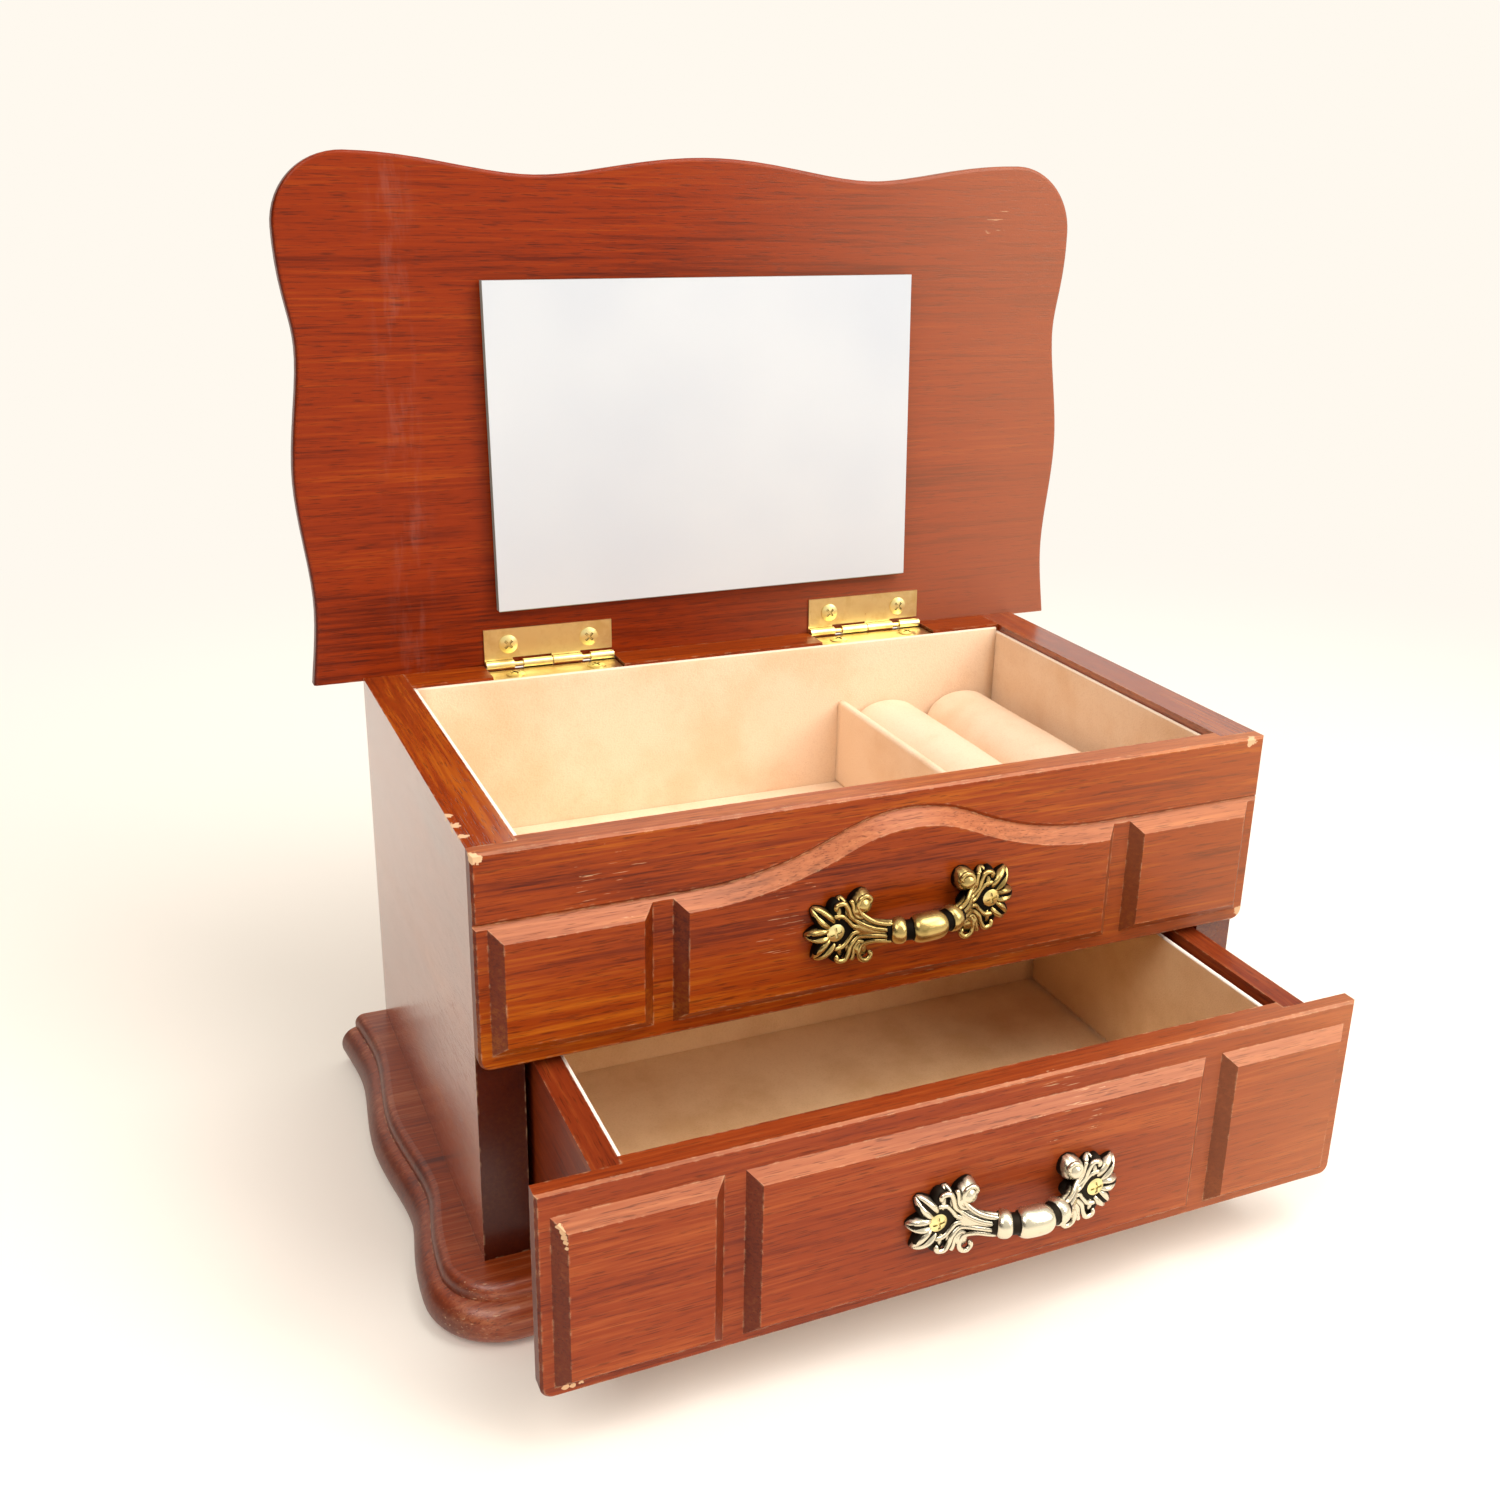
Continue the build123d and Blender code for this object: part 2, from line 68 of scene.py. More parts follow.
# A new material with its tree, its shader and its object coordinates
def newMaterial(name):
    material = bpy.data.materials.new(name)
    material.use_nodes = True
    tree = material.node_tree
    shader = tree.nodes["Principled BSDF"]
    place = put(tree, "ShaderNodeTexCoord")["Object"]
    return material, tree, shader, place


# Value of a noise pattern stretched by these scales per metre
def grainNoise(tree, place, scales, detail, shift=(0, 0, 0), distortion=0.0):
    mapped = put(tree, "ShaderNodeMapping", {"Vector": place, "Scale": scales, "Location": shift})[0]
    return put(tree, "ShaderNodeTexNoise", {"Vector": mapped, "Scale": 1.0, "Detail": detail,
                                            "Roughness": 0.6, "Distortion": distortion})["Fac"]


# Smooth step from low to high, as a 0 to 1 mask
def step(tree, value, low, high):
    return put(tree, "ShaderNodeMapRange", {"Value": value, "From Min": low, "From Max": high},
               interpolation_type="SMOOTHSTEP")[0]


def combine(tree, operation, first, second):
    return put(tree, "ShaderNodeMath", {0: first, 1: second}, operation=operation)[0]


def blendColour(tree, factor, first, second, mode="MIX"):
    return put(tree, "ShaderNodeMix", {0: factor, 6: first, 7: second}, data_type="RGBA", blend_type=mode)[2]


# 1 inside a ragged ball at each place (x, y, z, radius in mm), 0 outside
def raggedSpots(tree, place, spots, ragged=0.9):
    noise = put(tree, "ShaderNodeTexNoise", {"Vector": place, "Scale": 900.0, "Detail": 3.0})["Color"]
    centred = put(tree, "ShaderNodeVectorMath", {0: noise, 1: (0.5, 0.5, 0.5)}, operation="SUBTRACT")[0]
    total = 0.0
    for x, y, z, radius in spots:
        reach = 2 * ragged * radius * mm
        middle = (x * mm, y * mm, z * mm)
        jitter = put(tree, "ShaderNodeVectorMath", {0: centred, 3: reach}, operation="SCALE")[0]
        moved = put(tree, "ShaderNodeVectorMath", {0: place, 1: jitter}, operation="ADD")[0]
        away = put(tree, "ShaderNodeVectorMath", {0: moved, 1: middle}, operation="DISTANCE")[1]
        inside = step(tree, away, radius * mm, 0.85 * radius * mm)
        total = combine(tree, "MAXIMUM", inside, total)
    return total


# 1 along sharp edges, from how far a rounded normal turns away from the true one
def edgeMask(tree, radius):
    rounded = put(tree, "ShaderNodeBevel", {"Radius": radius}, samples=4)[0]
    true = put(tree, "ShaderNodeNewGeometry")["Normal"]
    facing = put(tree, "ShaderNodeVectorMath", {0: rounded, 1: true}, operation="DOT_PRODUCT")[1]
    return step(tree, facing, 0.99, 0.86)


# The true normal in the object's own axes, as its x, y and z
def ownNormal(tree):
    normal = put(tree, "ShaderNodeNewGeometry")["Normal"]
    own = put(tree, "ShaderNodeVectorTransform", {0: normal}, vector_type="NORMAL", convert_from="WORLD",
              convert_to="OBJECT")[0]
    return put(tree, "ShaderNodeSeparateXYZ", {0: own})


# Meranti-type cabinet wood, stained red-brown and sprayed with clear lacquer: dark open pores as
# short dashes along the grain, soft ribbons of tone, a glossy coat that is a little wavy
woodLook = {
    "dark": "#5C1A03", "middle": "#8E3605", "light": "#B05A10", "pore": "#341004",
    # raw: pale bare wood at chips and worn edges, also used as a painted highlight along every edge and
    # groove line
    "rawWoodAndHighlight": "#DDB48A", "rubbed": "#D6946A", "end": "#3A0E06", "grain": "X", "shift": 0.0,
    # the rubbed colour and the bevel and top shares: upward faces painted paler, partly real rubbing and
    # partly a painted sheen
    "endDepth": 0.6, "bevelRubAndSheen": 0.0, "topRubAndSheen": 0.0,
    "figureWidth": 20.0, "streakWidth": 1.0, "poreWidth": 0.3, "poreLength": 6.0,
    "poreDepth": 0.5, "roughness": 0.36, "specular": 0.16, "coat": 0.1, "coatRoughness": 0.2,
    "edgeRadius": 0.7, "edgeWearAndHighlight": 0.35, "chips": (), "scrapes": (), "haze": None, "paintedSheen": None,
}


def lacqueredWood(name, **changes):
    look = {**woodLook, **changes}
    material, tree, shader, place = newMaterial(name)
    axis = "XYZ".index(look["grain"])

    # scales per metre for a pattern this wide across the grain and this much longer along it
    def along(width, stretch):
        scales = [1 / (width * mm)] * 3
        scales[axis] /= stretch
        return tuple(scales)

    shift = (look["shift"],) * 3
    figure = grainNoise(tree, place, along(look["figureWidth"], 9), 2, shift, 0.6)
    streak = grainNoise(tree, place, along(look["streakWidth"], 34), 5, shift, 0.3)
    poreStretch = look["poreLength"] / look["poreWidth"]
    pore = step(tree, grainNoise(tree, place, along(look["poreWidth"], poreStretch), 1.5, shift), 0.56, 0.68)
    broad = combine(tree, "MULTIPLY", figure, 0.45)
    tone = combine(tree, "ADD", broad, combine(tree, "MULTIPLY", streak, 0.55))
    lower = blendColour(tree, step(tree, tone, 0.32, 0.5), linear(look["dark"]), linear(look["middle"]))
    colour = blendColour(tree, step(tree, tone, 0.49, 0.68), lower, linear(look["light"]))
    # end grain drinks more stain, so faces turned towards the grain's direction are darker
    own = ownNormal(tree)
    alongGrain = combine(tree, "ABSOLUTE", own[axis], 0.0)
    endGrain = combine(tree, "MULTIPLY", step(tree, alongGrain, 0.35, 0.8), look["endDepth"])
    colour = blendColour(tree, endGrain, colour, linear(look["end"]))
    # bevels turned upwards are painted paler, and so are flat tops, each by its own share: partly real
    # rubbing, partly a painted sheen of the light from above
    rubAndSheenShare = put(tree, "ShaderNodeMapRange", {"Value": step(tree, own[2], 0.8, 0.95),
                                                "To Min": look["bevelRubAndSheen"], "To Max": look["topRubAndSheen"]})[0]
    uneven = put(tree, "ShaderNodeMapRange", {"Value": streak, "From Min": 0.35, "From Max": 0.65,
                                              "To Min": 0.6})[0]
    rubbed = combine(tree, "MULTIPLY", step(tree, own[2], 0.12, 0.6), rubAndSheenShare)
    colour = blendColour(tree, combine(tree, "MULTIPLY", rubbed, uneven), colour, linear(look["rubbed"]))
    poreShade = combine(tree, "MULTIPLY", pore, look["poreDepth"])
    colour = blendColour(tree, poreShade, colour, linear(look["pore"]))
    # painted sheen: the board is painted paler towards its right, standing in for the broad glossy
    # reflection of a bright source on that side
    if look["paintedSheen"]:
        start, end, amount, sheenColour = look["paintedSheen"]
        acrossBoard = put(tree, "ShaderNodeSeparateXYZ", {0: place})[0]
        share = combine(tree, "MULTIPLY", step(tree, acrossBoard, start * mm, end * mm), amount)
        colour = blendColour(tree, share, colour, linear(sheenColour))
    roughness = combine(tree, "MULTIPLY_ADD", figure, 0.12)
    roughness.node.inputs[2].default_value = look["roughness"] - 0.06

    blotch = put(tree, "ShaderNodeTexNoise", {"Vector": place, "Scale": 420.0, "Detail": 4.0})["Fac"]
    # edges and groove lines paler: partly real wear through to bare wood, partly a painted highlight along
    # each sharp edge; chips and scrapes are real wear
    wearAndEdgeHighlight = combine(tree, "MULTIPLY", edgeMask(tree, look["edgeRadius"] * mm), step(tree, blotch, 0.47, 0.66))
    wearAndEdgeHighlight = combine(tree, "MULTIPLY", wearAndEdgeHighlight, look["edgeWearAndHighlight"])
    if look["chips"]:
        wearAndEdgeHighlight = combine(tree, "MAXIMUM", wearAndEdgeHighlight, raggedSpots(tree, place, look["chips"]))
    if look["scrapes"]:
        near = raggedSpots(tree, place, look["scrapes"], 0.5)
        turned = put(tree, "ShaderNodeMapping", {"Vector": place, "Rotation": (0.3, 0.85, 0.2),
                                                 "Scale": (150, 1500, 2600)})[0]
        lines = put(tree, "ShaderNodeTexNoise", {"Vector": turned, "Scale": 1.0, "Detail": 2.0})["Fac"]
        scrape = combine(tree, "MULTIPLY", near, step(tree, lines, 0.64, 0.72))
        wearAndEdgeHighlight = combine(tree, "MAXIMUM", wearAndEdgeHighlight, combine(tree, "MULTIPLY", scrape, 0.5))
    colour = blendColour(tree, wearAndEdgeHighlight, colour, linear(look["rawWoodAndHighlight"]))
    roughness = combine(tree, "MAXIMUM", roughness, combine(tree, "MULTIPLY", wearAndEdgeHighlight, 0.7))
    if look["haze"]:
        centre, width, colourOfHaze = look["haze"]
        x = put(tree, "ShaderNodeSeparateXYZ", {0: place})[0]
        offset = combine(tree, "ABSOLUTE", combine(tree, "SUBTRACT", x, centre * mm), 0.0)
        dust = grainNoise(tree, place, (300, 300, 60), 4)
        haze = combine(tree, "MULTIPLY", step(tree, offset, width * mm, 0.0), step(tree, dust, 0.45, 0.75))
        haze = combine(tree, "MULTIPLY", haze, step(tree, own[1], -0.5, -0.9))
        colour = blendColour(tree, combine(tree, "MULTIPLY", haze, 0.09), colour, linear(colourOfHaze))
    tree.links.new(colour, shader.inputs["Base Color"])
    tree.links.new(roughness, shader.inputs["Roughness"])
    wave = put(tree, "ShaderNodeTexNoise", {"Vector": place, "Scale": 130.0, "Detail": 2.0})["Fac"]
    dents = combine(tree, "MULTIPLY", wave, 0.9)
    dents = combine(tree, "SUBTRACT", dents, combine(tree, "MULTIPLY", pore, 0.35))
    dents = combine(tree, "SUBTRACT", dents, combine(tree, "MULTIPLY", wearAndEdgeHighlight, 0.8))
    bump = put(tree, "ShaderNodeBump", {"Height": dents, "Strength": 0.35, "Distance": 0.00012})[0]
    tree.links.new(bump, shader.inputs["Normal"])
    tree.links.new(bump, shader.inputs["Coat Normal"])
    shader.inputs["IOR"].default_value = 1.5
    shader.inputs["Specular IOR Level"].default_value = look["specular"]
    sealed = put(tree, "ShaderNodeMapRange", {"Value": endGrain, "To Min": look["coat"], "To Max": 0.0})[0]
    tree.links.new(sealed, shader.inputs["Coat Weight"])
    shader.inputs["Coat Roughness"].default_value = look["coatRoughness"]
    return material


# Cotton velveteen glued to card: a short dense pile that catches light at its grazing edges, with
# faint rubbed patches; the cut edge of the card shows paler along the top
velveteenLook = {"pile": "#F1D6B8", "rubbed": "#E8C6A2", "shade": "#B87F4C", "card": "#FFF6E6",
                 "pileWidth": 0.45, "patchWidth": 30.0}


def velveteen(name, **changes):
    look = {**velveteenLook, **changes}
    material, tree, shader, place = newMaterial(name)
    patch = grainNoise(tree, place, (1 / (look["patchWidth"] * mm),) * 3, 4)
    fibre = grainNoise(tree, place, (1 / (look["pileWidth"] * mm),) * 3, 3)
    colour = blendColour(tree, step(tree, patch, 0.4, 0.72), linear(look["pile"]), linear(look["rubbed"]))
    between = combine(tree, "MULTIPLY", step(tree, fibre, 0.45, 0.75), 0.16)
    colour = blendColour(tree, between, colour, linear(look["shade"]))
    cut = put(tree, "ShaderNodeAttribute", attribute_name="cutEdge")["Fac"]
    colour = blendColour(tree, cut, colour, linear(look["card"]))
    tree.links.new(colour, shader.inputs["Base Color"])
    height = combine(tree, "ADD", fibre, combine(tree, "MULTIPLY", patch, 1.5))
    bump = put(tree, "ShaderNodeBump", {"Height": height, "Strength": 0.5, "Distance": 0.00025})[0]
    tree.links.new(bump, shader.inputs["Normal"])
    shader.inputs["Roughness"].default_value = 0.95
    shader.inputs["Specular IOR Level"].default_value = 0.2
    shader.inputs["Sheen Weight"].default_value = 0.35
    shader.inputs["Sheen Roughness"].default_value = 0.4
    shader.inputs["Sheen Tint"].default_value = linear("#FFE9CC")
    return material


# Pressed and plated brass: bright, finely brushed, duller in patches, with painted shade darkening its
# crevices and narrow gaps
brassLook = {"bright": "#EEDCA2", "dull": "#DCC182", "creviceShade": "#3A2A16", "roughness": 0.33, "crevice": 0.6}


def platedBrass(name, **changes):
    look = {**brassLook, **changes}
    material, tree, shader, place = newMaterial(name)
    smudge = grainNoise(tree, place, (150, 150, 150), 5)
    brushed = grainNoise(tree, place, (180, 5000, 5000), 2)
    colour = blendColour(tree, step(tree, smudge, 0.4, 0.7), linear(look["bright"]), linear(look["dull"]))
    # painted shade: near-black wherever other surfaces lie within the crevice distance, such as recesses and
    # tight joints
    openShare = put(tree, "ShaderNodeAmbientOcclusion", {"Distance": look["crevice"] * mm}, samples=6,
                    only_local=True)["AO"]
    colour = blendColour(tree, step(tree, openShare, 0.75, 0.35), colour, linear(look["creviceShade"]))
    tree.links.new(colour, shader.inputs["Base Color"])
    roughness = combine(tree, "MULTIPLY_ADD", smudge, 0.25)
    roughness.node.inputs[2].default_value = look["roughness"] - 0.12
    tree.links.new(roughness, shader.inputs["Roughness"])
    bump = put(tree, "ShaderNodeBump", {"Height": brushed, "Strength": 0.12, "Distance": 0.00005})[0]
    tree.links.new(bump, shader.inputs["Normal"])
    shader.inputs["Metallic"].default_value = 1.0
    return material


# Zinc casting with an antique finish: dark patina left in the hollows and on the sides, the metal
# rubbed bright on everything that stands out
castLook = {"bright": "#BFA566", "second": "#86703A", "patina": "#17120D", "secondShare": 0.55,
            "crevice": 1.6}


def antiqueCasting(name, **changes):
    look = {**castLook, **changes}
    material, tree, shader, place = newMaterial(name)
    mottle = grainNoise(tree, place, (700, 700, 700), 4)
    cloud = grainNoise(tree, place, (160, 160, 160), 3)
    outward = put(tree, "ShaderNodeAttribute", attribute_name="rubbed")["Fac"]
    openShare = put(tree, "ShaderNodeAmbientOcclusion", {"Distance": look["crevice"] * mm}, samples=8,
                    only_local=True)["AO"]
    rubbed = combine(tree, "MULTIPLY", step(tree, openShare, 0.35, 0.8), outward)
    unevenness = combine(tree, "MULTIPLY", combine(tree, "SUBTRACT", mottle, 0.5), 0.7)
    rubbed = combine(tree, "ADD", rubbed, unevenness)
    bright = step(tree, rubbed, 0.36, 0.72)
    metal = blendColour(tree, step(tree, cloud, look["secondShare"], look["secondShare"] + 0.2),
                        linear(look["bright"]), linear(look["second"]))
    colour = blendColour(tree, bright, linear(look["patina"]), metal)
    tree.links.new(colour, shader.inputs["Base Color"])
    roughness = put(tree, "ShaderNodeMapRange", {"Value": bright, "To Min": 0.62, "To Max": 0.27})[0]
    tree.links.new(roughness, shader.inputs["Roughness"])
    bump = put(tree, "ShaderNodeBump", {"Height": mottle, "Strength": 0.35, "Distance": 0.00012})[0]
    tree.links.new(bump, shader.inputs["Normal"])
    shader.inputs["Metallic"].default_value = 0.95
    return material


# Silvered float glass with a painted reflection: its face is a nearly matt pale grey in broad clouds that
# stands in for the bright room it would mirror; the ground edge of the glass is grey-green
def paintedReflectionMirror(name):
    material, tree, shader, place = newMaterial(name)
    front = combine(tree, "ABSOLUTE", ownNormal(tree)[1], 0.0)
    face = step(tree, front, 0.9, 0.97)
    cloud = grainNoise(tree, place, (14, 14, 14), 2)
    # painted reflection: the face's pale grey, lighter and darker in broad clouds, stands in for the bright
    # room the glass would mirror
    paintedReflection = blendColour(tree, step(tree, cloud, 0.3, 0.75), linear("#CED3D8"), linear("#C4CAD2"))
    tree.links.new(blendColour(tree, face, linear("#8F9C95"), paintedReflection), shader.inputs["Base Color"])
    tree.links.new(combine(tree, "MULTIPLY", face, 0.05), shader.inputs["Metallic"])
    shader.inputs["Roughness"].default_value = 0.4
    return material


# Closed-cell foam pad, off-white and full of tiny pits
def foamPad(name):
    material, tree, shader, place = newMaterial(name)
    pits = grainNoise(tree, place, (2500, 2500, 2500), 2)
    tree.links.new(blendColour(tree, step(tree, pits, 0.4, 0.7), linear("#E9E6DE"), linear("#BDB9AE")),
                   shader.inputs["Base Color"])
    shader.inputs["Roughness"].default_value = 0.9
    return material


# Rings of points, one after another, joined into one closed skin with a fan at each end
def skin(rings):
    count, around = rings.shape[:2]
    points = np.concatenate([rings.reshape(-1, 3), rings[:1].mean(1), rings[-1:].mean(1)])
    start = np.arange(count - 1)[:, None] * around
    here, after = np.arange(around), (np.arange(around) + 1) % around
    sides = np.stack([start + here, start + after, start + around + after, start + around + here], -1)
    last, tip = (count - 1) * around, count * around
    fans = [np.stack([after, here, np.full(around, tip)], -1),
            np.stack([last + here, last + after, np.full(around, tip + 1)], -1)]
    return points, sides.reshape(-1, 4).tolist() + np.concatenate(fans).tolist()


# One object from closed skins given in metres, with its normals turned outwards
def makePiece(name, skins, material, body, replaced, attribute=None):
    points, faces, offset = [], [], 0
    for skinPoints, skinFaces in skins:
        points.append(skinPoints)
        faces += [[corner + offset for corner in face] for face in skinFaces]
        offset += len(skinPoints)
    mesh = bpy.data.meshes.new(name)
    mesh.from_pydata(np.concatenate(points), [], faces)
    shape = bmesh.new()
    shape.from_mesh(mesh)
    bmesh.ops.recalc_face_normals(shape, faces=shape.faces)
    shape.to_mesh(mesh)
    shape.free()
    mesh.shade_smooth()
    if attribute is not None:
        label, values = attribute
        mesh.attributes.new(label, "FLOAT", "POINT").data.foreach_set("value", values.astype(np.float32))
    mesh.materials.append(material)
    piece = bpy.data.objects.new(name, mesh)
    bpy.context.scene.collection.objects.link(piece)
    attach(piece, body)
    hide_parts(*replaced)
    return piece


# Smooth curve through given points: a Catmull-Rom spline sampled evenly between them
def curveThrough(points, perSpan=8):
    points = np.asarray(points, float)
    padded = np.concatenate([2 * points[:1] - points[1:2], points, 2 * points[-1:] - points[-2:-1]])
    t = np.linspace(0, 1, perSpan, endpoint=False)[None, :, None]
    a, b, c, d = (padded[i : len(padded) - 3 + i][:, None] for i in range(4))
    spans = 0.5 * (2 * b + (c - a) * t + (2 * a - 5 * b + 4 * c - d) * t**2 + (3 * b - a - 3 * c + d) * t**3)
    return np.concatenate([spans.reshape(-1, points.shape[1]), points[-1:]])


# A round or flattened bar along a path: circle times radius, in the plane square to the path
def bar(path, radii, flatness=1.0, sides=12):
    forward = np.gradient(path, axis=0)
    forward /= np.linalg.norm(forward, axis=1, keepdims=True)
    across = np.cross(np.array([0, 0, 1.0]), forward)
    across /= np.linalg.norm(across, axis=1, keepdims=True)
    upward = np.cross(forward, across)
    turn = np.linspace(0, 2 * np.pi, sides, endpoint=False)[None, :, None]
    radii = np.broadcast_to(radii, len(path))[:, None, None]
    circle = np.cos(turn) * across[:, None] + flatness * np.sin(turn) * upward[:, None]
    return path[:, None] + radii * circle


# Radii along a bar that ends in round tips: full in the middle, a quarter circle at each end
def roundEnds(count, radius, tip=0.12):
    s = np.linspace(0, 1, count)
    edge = np.clip(np.minimum(s, 1 - s) / tip, 0, 1)
    return radius * np.sqrt(np.clip(1 - (1 - edge) ** 2, 0.02, 1))


# A leaf lying on the plate: half-ellipse section with a crease down its middle, full near its root
def leaf(root, tip, width, height, crease=0.35, stations=18, sides=20):
    root, tip = np.asarray(root, float), np.asarray(tip, float)
    s = np.linspace(0.0, 1.0, stations)[:, None]
    turn = np.linspace(0, 2 * np.pi, sides, endpoint=False)[None]
    forward = (tip - root) / np.linalg.norm(tip - root)
    sideways = np.array([-forward[1], forward[0]])
    swell = np.sqrt(np.clip(np.sin(np.pi * (0.12 + 0.86 * s) ** 0.8), 0.01, 1))
    across = width * swell * np.cos(turn)
    midrib = 1 - crease * np.exp(-((np.cos(turn) / 0.25) ** 2))
    lift = height * swell * np.clip(np.sin(turn), 0, 1) ** 0.7 * midrib
    flat = root + (tip - root) * s
    x = flat[:, :1] + across * sideways[0]
    y = flat[:, 1:] + across * sideways[1]
    return np.stack([x, y, lift], -1)


print("scene: frame loaded, building pieces")

# Linings: velveteen on card, one closed sheet each, with the pile facing into the compartment
liningShape = {"cornerRadius": 0.4, "swell": 0.22, "stations": 48, "rows": 26}
linings = {
    # node: body, what it is glued to, axis across it, side the pile faces, how pale its cut edge is
    "tray_lining_left": ("carcass", "left_side", 0, 1, 1.0),
    "tray_lining_right": ("carcass", "right_side", 0, -1, 0.4),
    "tray_lining_front": ("carcass", "upper_front", 1, 1, 0.7),
    "tray_lining_back": ("carcass", "back_panel", 1, -1, 0.3),
    "tray_lining_floor": ("carcass", "tray_floor", 2, 1, 0.0),
    "drawer_lining_left": ("drawer", "drawer_side_left", 0, 1, 1.0),
    "drawer_lining_right": ("drawer", "drawer_bottom", 0, -1, 1.0),
    "drawer_lining_front": ("drawer", "drawer_front", 1, 1, 0.4),
    "drawer_lining_back": ("drawer", "drawer_back", 1, -1, 0.3),
    "drawer_lining_floor": ("drawer", "drawer_bottom", 2, 1, 0.0),
}


# Rounded rectangle of this thickness and height as (across, up) points, with rows along its faces
def cardSection(thickness, height, radius, rows):
    turn = np.linspace(0, np.pi / 2, 5)
    corners = [(radius, radius, np.pi), (thickness - radius, radius, 1.5 * np.pi),
               (thickness - radius, height - radius, 0), (radius, height - radius, 0.5 * np.pi)]
    arcs = [np.stack([cx + radius * np.cos(start + turn), cy + radius * np.sin(start + turn)], -1)
            for cx, cy, start in corners]
    share = np.linspace(0, 1, rows)[1:-1, None]
    parts = []
    for number, arc in enumerate(arcs):
        following = arcs[(number + 1) % 4]
        parts.append(arc)
        if number in (1, 3):
            parts.append(arc[-1] + (following[0] - arc[-1]) * share)
    return np.concatenate(parts)


# A covered card in a node's box: the section carried along its length, the pile side swelling a little
def coveredCard(node, axis, facing, paleEdge, phase, radius, swell):
    low, high = (np.array(corner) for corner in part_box(node))
    lengthAxis = {0: 1, 1: 0, 2: 0}[axis]
    upAxis = 3 - axis - lengthAxis
    size = high - low
    section = cardSection(size[axis], size[upAxis], radius * mm, liningShape["rows"])
    along = np.linspace(0, size[lengthAxis], liningShape["stations"])
    across = np.broadcast_to(section[:, 0], (len(along), len(section))).copy()
    up = np.broadcast_to(section[:, 1], across.shape)
    lengthShare = (along / size[lengthAxis])[:, None]
    upShare = up / size[upAxis]
    calm = np.sin(np.pi * np.clip(upShare, 0, 1)) * np.sin(np.pi * lengthShare)
    ripple = 0.5 + 0.25 * np.sin(9 * lengthShare + phase)
    ripple = ripple + 0.25 * np.sin(7 * upShare + 14 * lengthShare + 2 * phase)
    pileSide = across > size[axis] / 2 if facing > 0 else across < size[axis] / 2
    across += facing * pileSide * swell * mm * calm * ripple
    rings = np.zeros((*across.shape, 3))
    rings[..., axis] = low[axis] + across
    rings[..., upAxis] = low[upAxis] + up
    rings[..., lengthAxis] = low[lengthAxis] + along[:, None]
    cut = np.where(up > size[upAxis] - 0.8 * radius * mm, paleEdge, 0.0)
    values = np.concatenate([cut.reshape(-1), [0, 0]])
    return skin(rings), values, (size[lengthAxis], size[upAxis])


velveteenTray = velveteen("velveteenTray")
velveteenDrawer = velveteen("velveteenDrawer", pile="#F2CFA0", rubbed="#E2B987", card="#FBF3E6")
for number, (node, (body, board, axis, facing, paleEdge)) in enumerate(linings.items()):
    cloth = velveteenTray if body == "carcass" else velveteenDrawer
    card, values, cutSize = coveredCard(node, axis, facing, paleEdge, number, liningShape["cornerRadius"],
                                        liningShape["swell"])
    piece = makePiece(f"{node}_cloth", [card], cloth, body, [node], ("cutEdge", values))

dividerCard, values, cutSize = coveredCard("tray_divider", 0, -1, 0.0, 3, 1.1, 0.1)
makePiece("tray_divider_covered", [dividerCard], velveteenTray, "carcass", ["tray_divider"],
          ("cutEdge", values))
print("scene: linings done")

# Ring rolls: foam rolled in velveteen, pressed a little flat below and against each other
rollShape = {"squareness": 2.25, "endRadius": 3.0, "play": 0.15, "dent": 0.012, "stations": 70, "sides": 64}


def ringRoll(node, phase):
    low, high = (np.array(corner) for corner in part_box(node))
    centre = (low + high) / 2
    radius = (high[0] - low[0]) / 2 - rollShape["play"] * mm
    y = low[1] + (high[1] - low[1]) * (0.5 - 0.5 * np.cos(np.linspace(0, np.pi, rollShape["stations"])))
    turn = np.linspace(0, 2 * np.pi, rollShape["sides"], endpoint=False)[None]
    power = 2 / rollShape["squareness"]
    x = np.sign(np.cos(turn)) * np.abs(np.cos(turn)) ** power
    z = np.sign(np.sin(turn)) * np.abs(np.sin(turn)) ** power
    endRadius = rollShape["endRadius"] * mm
    fromEnd = np.clip(np.minimum(y - low[1], high[1] - y) / endRadius, 0, 1)[:, None]
    shrink = 1 - endRadius / radius * (1 - np.sqrt(np.clip(1 - (1 - fromEnd) ** 2, 0, 1)))
    dent = 1 - rollShape["dent"] * (0.5 + 0.5 * np.sin(3 * turn + 90 * y[:, None] + phase)) * fromEnd
    rings = np.zeros((len(y), turn.shape[1], 3))
    rings[..., 0] = centre[0] + radius * shrink * dent * x
    rings[..., 1] = y[:, None]
    rings[..., 2] = centre[2] + radius * shrink * dent * z
    return skin(rings)


for number, node in enumerate(("ring_roll_left", "ring_roll_right")):
    roll = ringRoll(node, 2.0 * number)
    values = np.zeros(len(roll[0]))
    piece = makePiece(f"{node}_pad", [roll], velveteenTray, "carcass", [node],
                      ("cutEdge", values))
print("scene: ring rolls done")

